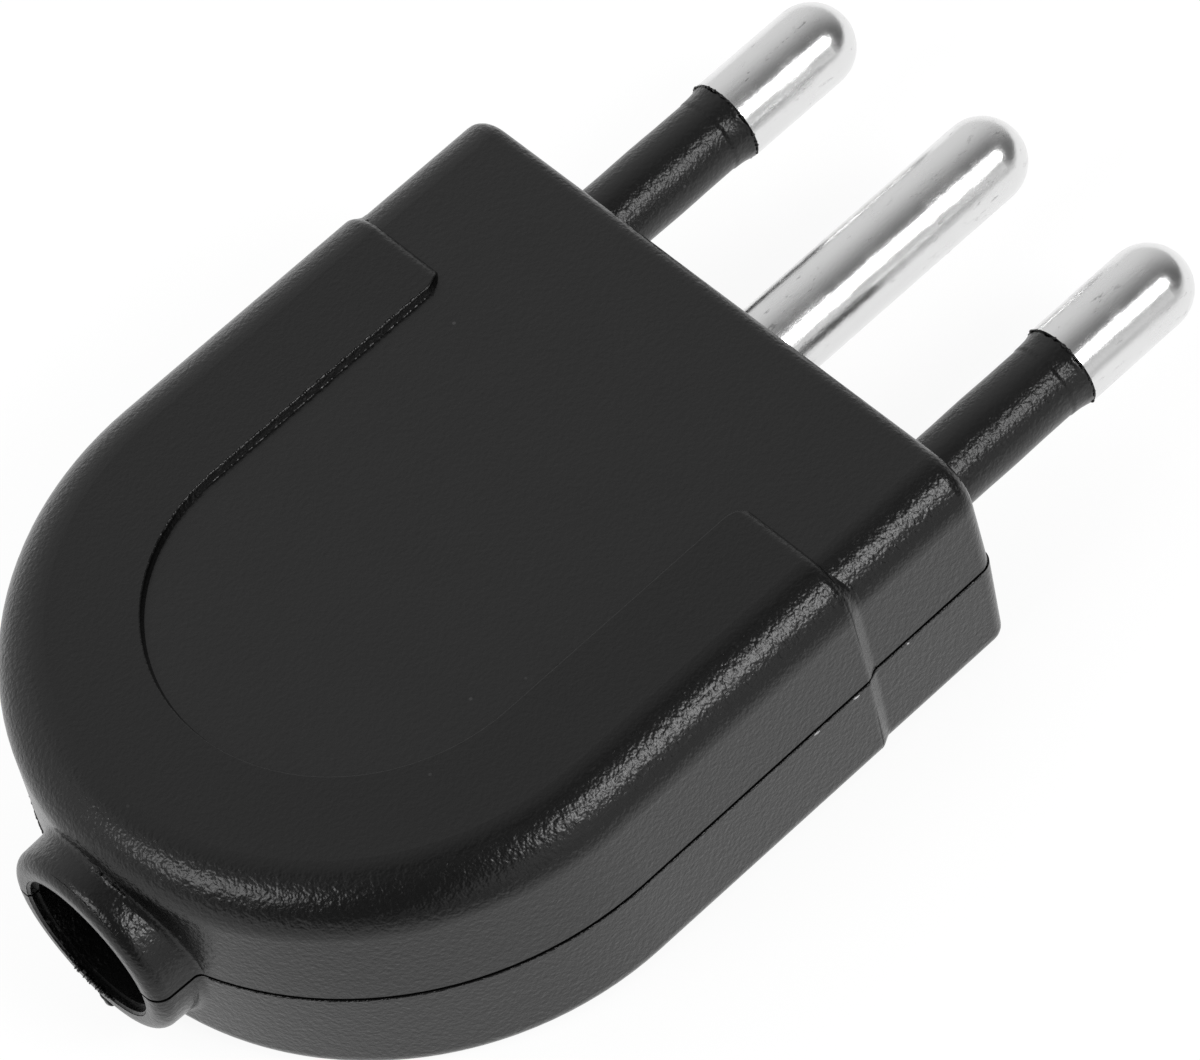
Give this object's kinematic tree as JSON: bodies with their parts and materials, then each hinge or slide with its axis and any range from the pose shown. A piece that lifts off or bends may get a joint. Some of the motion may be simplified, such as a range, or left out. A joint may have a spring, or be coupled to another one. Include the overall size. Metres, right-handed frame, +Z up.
{
  "type": "flat electric plug",
  "caption": "Flat rewireable mains plug: a hoof-shaped two-part black housing with sleeved round outer pins, a bare earth pin between them and a round cable collar.",
  "frame": {"origin": "where the axis of the middle (earth) pin meets the front face of the housing", "axes": "+Y the way the pins point, out of the front face; +Z up, from the flat base to the side with the raised rim; +X along the row of pins"},
  "size_m": [0.0394, 0.0684, 0.0155],
  "materials": {
    "housing_plastic": "black, matt, with a fine moulded grain",
    "sleeve_plastic": "black, matt",
    "pin_metal": "nickel plated, bright, with fine turning marks",
    "saddle_steel": "zinc plated",
    "screw_steel": "zinc plated",
    "clamp_plastic": "black, matt",
    "insert_brass": "plain turned"
  },
  "bodies": {
    "root": {"upper_shell": "housing_plastic", "lower_shell": "housing_plastic", "pin_left": "pin_metal", "pin_right": "pin_metal", "pin_earth": "pin_metal", "sleeve_left": "sleeve_plastic", "sleeve_right": "sleeve_plastic", "wire_saddle_left": "saddle_steel", "wire_saddle_right": "saddle_steel", "wire_saddle_earth": "saddle_steel", "terminal_screw_left": "screw_steel", "terminal_screw_right": "screw_steel", "terminal_screw_earth": "screw_steel", "cord_clamp": "clamp_plastic", "clamp_screw_left": "screw_steel", "clamp_screw_right": "screw_steel", "housing_screw_front_left": "screw_steel", "housing_screw_front_right": "screw_steel", "housing_screw_rear_left": "screw_steel", "housing_screw_rear_right": "screw_steel", "threaded_insert_front_left": "insert_brass", "threaded_insert_front_right": "insert_brass", "threaded_insert_rear_left": "insert_brass", "threaded_insert_rear_right": "insert_brass"}
  },
  "joints": []
}
